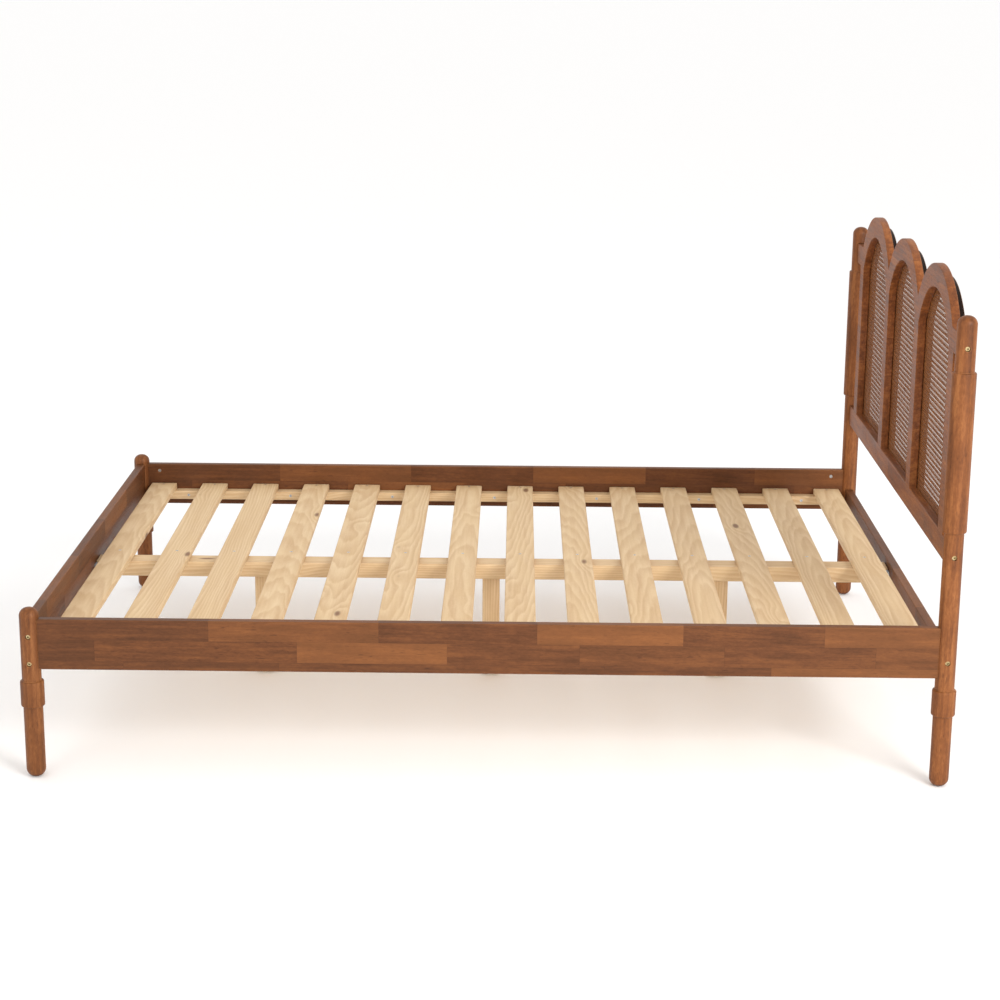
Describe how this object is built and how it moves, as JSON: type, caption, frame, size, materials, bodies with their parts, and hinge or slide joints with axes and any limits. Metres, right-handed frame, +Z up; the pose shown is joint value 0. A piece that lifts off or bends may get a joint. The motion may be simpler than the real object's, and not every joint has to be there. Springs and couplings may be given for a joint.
{
  "type": "bed frame",
  "caption": "Wooden bed frame with turned round posts, slatted deck and a scalloped arch headboard filled with woven cane.",
  "frame": {"origin": "on the floor, midway between the four posts", "axes": "+X towards the headboard, +Y to the left as seen from the foot, +Z up"},
  "size_m": [2.155, 1.615, 1.1658],
  "materials": {
    "stained_wood": "warm brown stain under satin lacquer",
    "dark_stained_wood": "near-black brown stain, matte",
    "plain_wood": "planed, unfinished",
    "cane": "stained woven cane, satin",
    "brass_plated_steel": "brass-coloured plating",
    "zinc_plated_steel": "zinc plating",
    "nylon": "moulded natural nylon, matte"
  },
  "bodies": {
    "frame": {"head_post_right": "stained_wood", "head_post_left": "stained_wood", "foot_post_right": "stained_wood", "foot_post_left": "stained_wood", "side_rail_right": "stained_wood", "side_rail_left": "stained_wood", "foot_rail": "stained_wood", "head_rail": "stained_wood", "headboard_panel": "stained_wood", "cane_panel_right": "cane", "cane_panel_middle": "cane", "cane_panel_left": "cane", "backing_ring_right": "dark_stained_wood", "backing_ring_middle": "dark_stained_wood", "backing_ring_left": "dark_stained_wood", "side_ledge_right": "plain_wood", "side_ledge_left": "plain_wood", "centre_beam": "plain_wood", "centre_leg_head": "plain_wood", "centre_leg_middle": "plain_wood", "centre_leg_foot": "plain_wood", "locating_dowels": "plain_wood", "slat_01": "plain_wood", "slat_02": "plain_wood", "slat_03": "plain_wood", "slat_04": "plain_wood", "slat_05": "plain_wood", "slat_06": "plain_wood", "slat_07": "plain_wood", "slat_08": "plain_wood", "slat_09": "plain_wood", "slat_10": "plain_wood", "slat_11": "plain_wood", "slat_12": "plain_wood", "slat_13": "plain_wood", "slat_14": "plain_wood", "side_rail_bolts": "brass_plated_steel", "cross_rail_bolts": "brass_plated_steel", "headboard_bolts": "brass_plated_steel", "side_rail_nuts": "zinc_plated_steel", "cross_rail_nuts": "zinc_plated_steel", "headboard_nuts": "zinc_plated_steel", "ring_screws": "zinc_plated_steel", "ledge_screws": "zinc_plated_steel", "slat_screws": "zinc_plated_steel", "bracket_screws": "zinc_plated_steel", "leg_bolts": "zinc_plated_steel", "leveller_inserts": "zinc_plated_steel", "beam_bracket_head": "zinc_plated_steel", "beam_bracket_foot": "zinc_plated_steel"},
    "head_foot_screw": {"leveller_head": "nylon"},
    "middle_foot_screw": {"leveller_middle": "nylon"},
    "foot_foot_screw": {"leveller_foot": "nylon"}
  },
  "joints": [
    {"name": "head_leveller_slide", "type": "slide", "parent": "frame", "child": "head_foot_screw", "axis": [0, 0, 1], "range_m": [-0.012, 0]},
    {"name": "middle_leveller_slide", "type": "slide", "parent": "frame", "child": "middle_foot_screw", "axis": [0, 0, 1], "range_m": [-0.012, 0]},
    {"name": "foot_leveller_slide", "type": "slide", "parent": "frame", "child": "foot_foot_screw", "axis": [0, 0, 1], "range_m": [-0.012, 0]}
  ]
}
